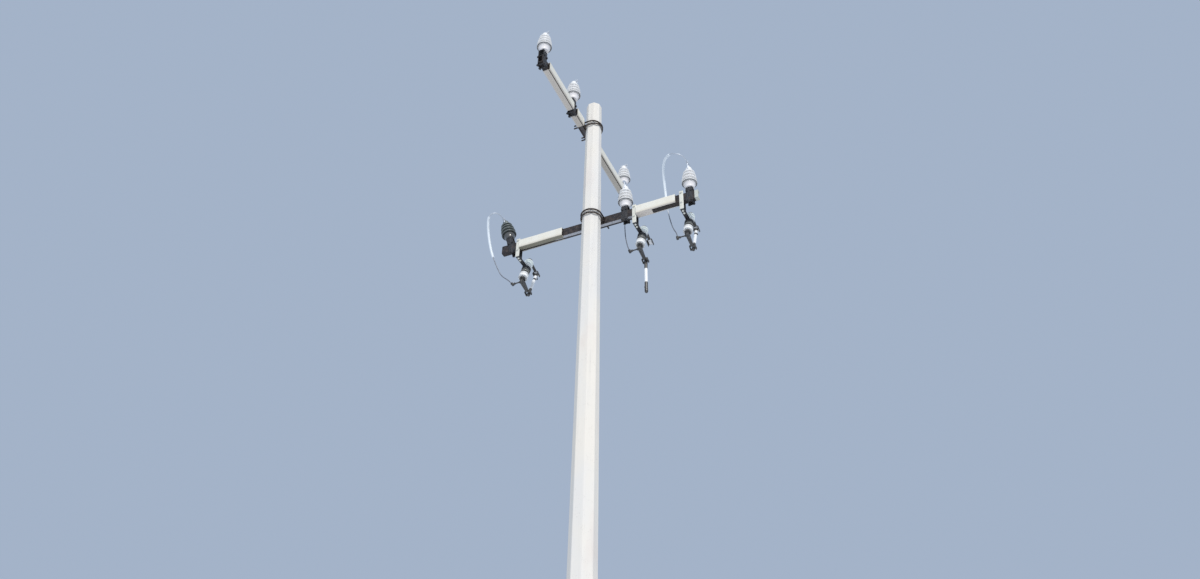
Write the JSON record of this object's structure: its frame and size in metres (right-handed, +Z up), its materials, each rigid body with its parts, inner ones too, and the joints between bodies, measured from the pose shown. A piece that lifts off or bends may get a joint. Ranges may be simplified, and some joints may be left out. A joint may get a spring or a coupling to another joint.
{
  "type": "concrete utility pole",
  "caption": "Tapered octagonal concrete utility pole with two crossed steel arms, post insulators, fuse cutouts whose tubes swing open, and short jumper wires.",
  "frame": {"origin": "middle of the pole's base, at ground level", "axes": "+Z up the pole, +X along the lower arm, Y along the upper arm"},
  "size_m": [2.3234, 2.243, 10.3407],
  "materials": {
    "concrete": "cast concrete, pale cream, weathered",
    "weathered_steel": "dark weathered zinc coat, dull",
    "cream_sleeve": "pale cream coat, streaked",
    "dark_rod": "dark weathered rod",
    "dark_steel": "near black, dull",
    "galvanised": "bright zinc coat, spangled",
    "pale_porcelain": "pale grey glaze, dusty",
    "dark_porcelain": "dark grey-green glaze",
    "cutout_porcelain": "pale blue-grey glaze",
    "contact_metal": "dull dark casting",
    "fuse_fibre": "pale fibre tube, dull",
    "wire_aluminium": "bare wire, dull silver"
  },
  "bodies": {
    "pole_and_arms": {"pole": "concrete", "upper_arm_channel": "weathered_steel", "lower_arm_channel": "weathered_steel", "upper_arm_sleeve_near": "cream_sleeve", "upper_arm_sleeve_inner": "cream_sleeve", "upper_arm_sleeve_far": "cream_sleeve", "lower_arm_sleeve_left": "cream_sleeve", "lower_arm_sleeve_right": "cream_sleeve", "upper_u_bolts": "dark_rod", "lower_u_bolts": "dark_rod", "upper_u_bolt_nuts": "dark_rod", "lower_u_bolt_nuts": "dark_rod", "upper_stand_near": "dark_steel", "upper_insulator_near": "pale_porcelain", "upper_tie_near": "wire_aluminium", "upper_stand_inner": "dark_steel", "upper_insulator_inner": "pale_porcelain", "upper_tie_inner": "wire_aluminium", "upper_stand_far": "dark_steel", "upper_insulator_far": "pale_porcelain", "upper_tie_far": "wire_aluminium", "lower_stand_left": "dark_steel", "lower_insulator_left": "dark_porcelain", "lower_tie_left": "wire_aluminium", "lower_stand_middle": "dark_steel", "lower_insulator_middle": "pale_porcelain", "lower_tie_middle": "wire_aluminium", "lower_stand_right": "dark_steel", "lower_insulator_right": "pale_porcelain", "lower_tie_right": "wire_aluminium", "cutout_strap_left": "galvanised", "cutout_bracket_left": "dark_steel", "cutout_body_left": "cutout_porcelain", "cutout_contact_left": "contact_metal", "cutout_hinge_left": "contact_metal", "jumper_left": "wire_aluminium", "cutout_strap_middle": "galvanised", "cutout_bracket_middle": "dark_steel", "cutout_body_middle": "cutout_porcelain", "cutout_contact_middle": "contact_metal", "cutout_hinge_middle": "contact_metal", "jumper_middle": "wire_aluminium", "cutout_strap_right": "galvanised", "cutout_bracket_right": "dark_steel", "cutout_body_right": "cutout_porcelain", "cutout_contact_right": "contact_metal", "cutout_hinge_right": "contact_metal", "jumper_right": "wire_aluminium"},
    "fuse_tube_left": {"fuse_tube_left": "fuse_fibre"},
    "fuse_tube_middle": {"fuse_tube_middle": "fuse_fibre"},
    "fuse_tube_right": {"fuse_tube_right": "fuse_fibre"}
  },
  "joints": [
    {"name": "fuse_tube_left_hinge", "type": "hinge", "parent": "pole_and_arms", "child": "fuse_tube_left", "pos_m": [-0.874, 0.37708, 8.11202], "axis": [-1, 0, 0], "range_deg": [0, 160]},
    {"name": "fuse_tube_middle_hinge", "type": "hinge", "parent": "pole_and_arms", "child": "fuse_tube_middle", "pos_m": [0.43, 0.37708, 8.11202], "axis": [-1, 0, 0], "range_deg": [-160, 0]},
    {"name": "fuse_tube_right_hinge", "type": "hinge", "parent": "pole_and_arms", "child": "fuse_tube_right", "pos_m": [0.932, 0.37708, 8.11202], "axis": [-1, 0, 0], "range_deg": [0, 160]}
  ]
}
